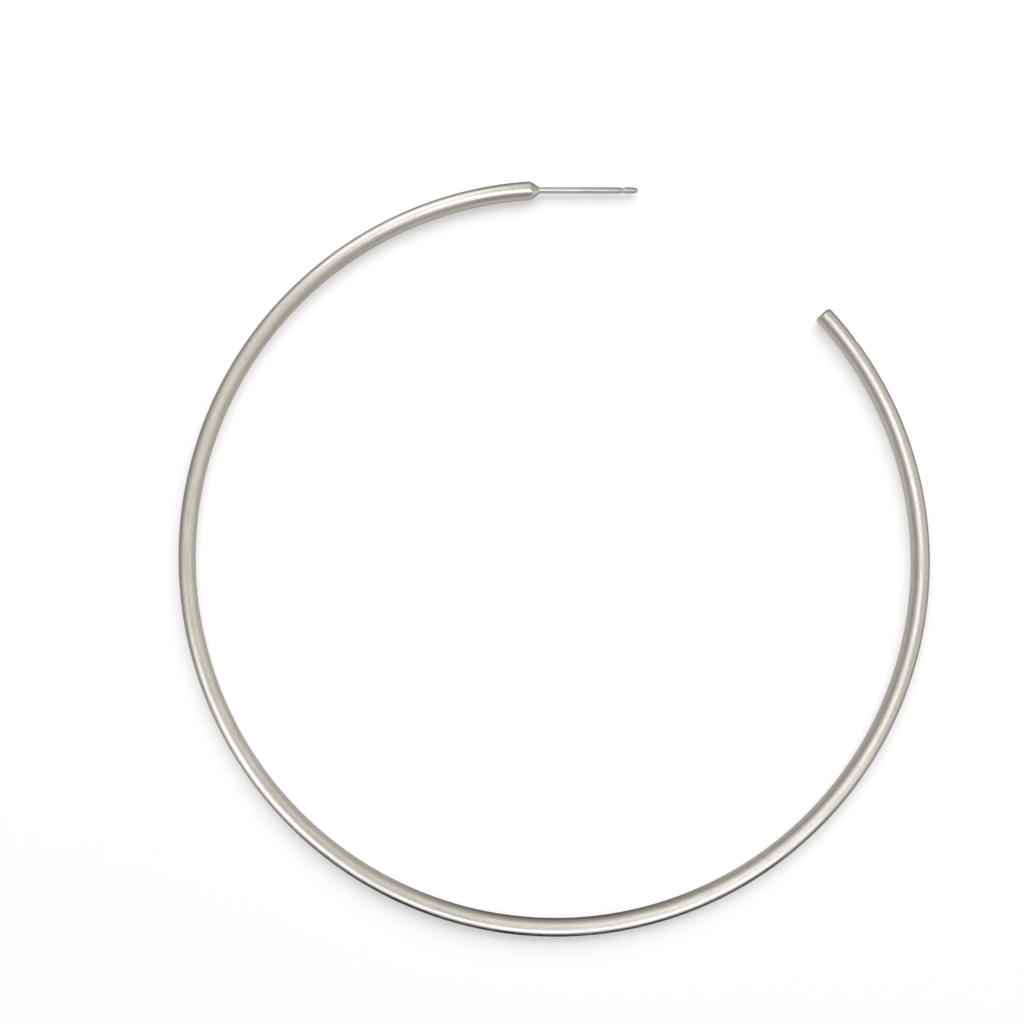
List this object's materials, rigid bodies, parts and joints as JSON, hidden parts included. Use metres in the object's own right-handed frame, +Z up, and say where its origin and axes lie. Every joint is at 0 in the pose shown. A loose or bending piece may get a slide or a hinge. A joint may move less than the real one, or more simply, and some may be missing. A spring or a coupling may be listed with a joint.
{
  "type": "hoop earring",
  "caption": "Large open hoop earring: round wire bent to an almost closed ring, with a straight notched ear post soldered to one end.",
  "frame": {"origin": "under the middle of the earring, which lies flat: the centre of its box in X and Y, at the level of its underside", "axes": "+X along the ear post towards its tip, +Y from the middle of the hoop towards the post, +Z up, square to the hoop"},
  "size_m": [0.0842, 0.0848, 0.0021],
  "materials": {
    "silver": "satin-brushed sterling silver, fine grain along the wire"
  },
  "bodies": {
    "root": {"hoop_with_post": "silver"}
  },
  "joints": []
}
